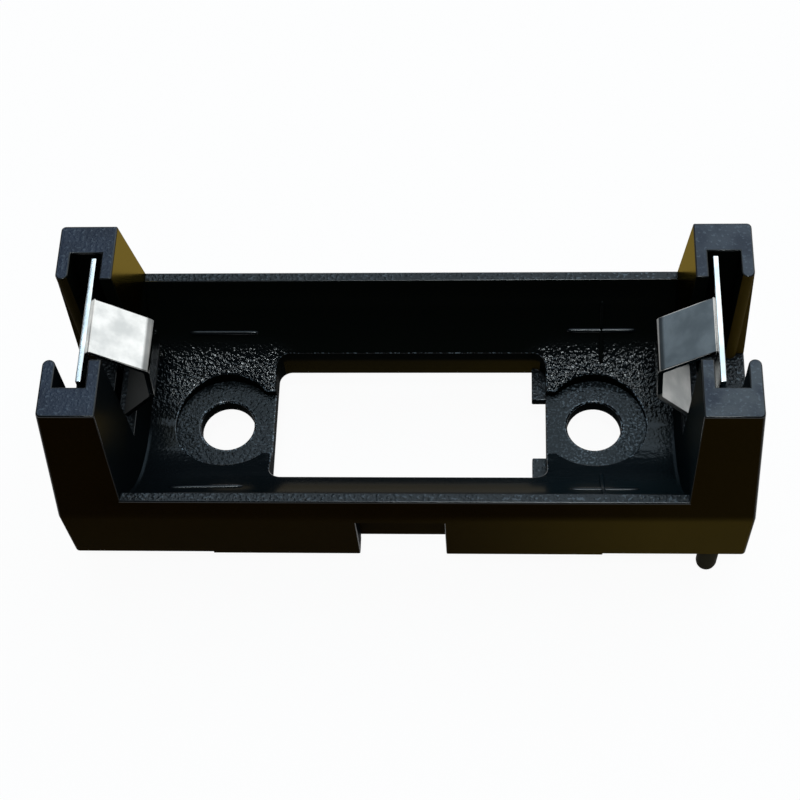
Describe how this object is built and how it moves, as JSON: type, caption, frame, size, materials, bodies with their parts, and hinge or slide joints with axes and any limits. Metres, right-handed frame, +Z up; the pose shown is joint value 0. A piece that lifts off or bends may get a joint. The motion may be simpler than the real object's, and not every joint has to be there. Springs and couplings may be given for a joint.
{
  "type": "battery holder",
  "caption": "Open-top moulded cradle for a short round lithium cell, with leaf-spring contacts in slotted corner posts, screw seats, a floor window and a polarising peg.",
  "frame": {"origin": "midway between the two screw holes, on the plane of the feet, which is the face of the board", "axes": "+X along the cell towards its positive end, +Y across the cell away from the peg's side, +Z up off the board"},
  "size_m": [0.0452, 0.0184, 0.0184],
  "materials": {
    "moulded_plastic": "black glass-filled moulding, fine spark-eroded grain on the floor and satin outer faces",
    "plated_spring_steel": "bright nickel plate on stamped spring steel"
  },
  "bodies": {
    "root": {"holder_body": "moulded_plastic", "positive_contact": "plated_spring_steel", "negative_contact": "plated_spring_steel"}
  },
  "joints": []
}
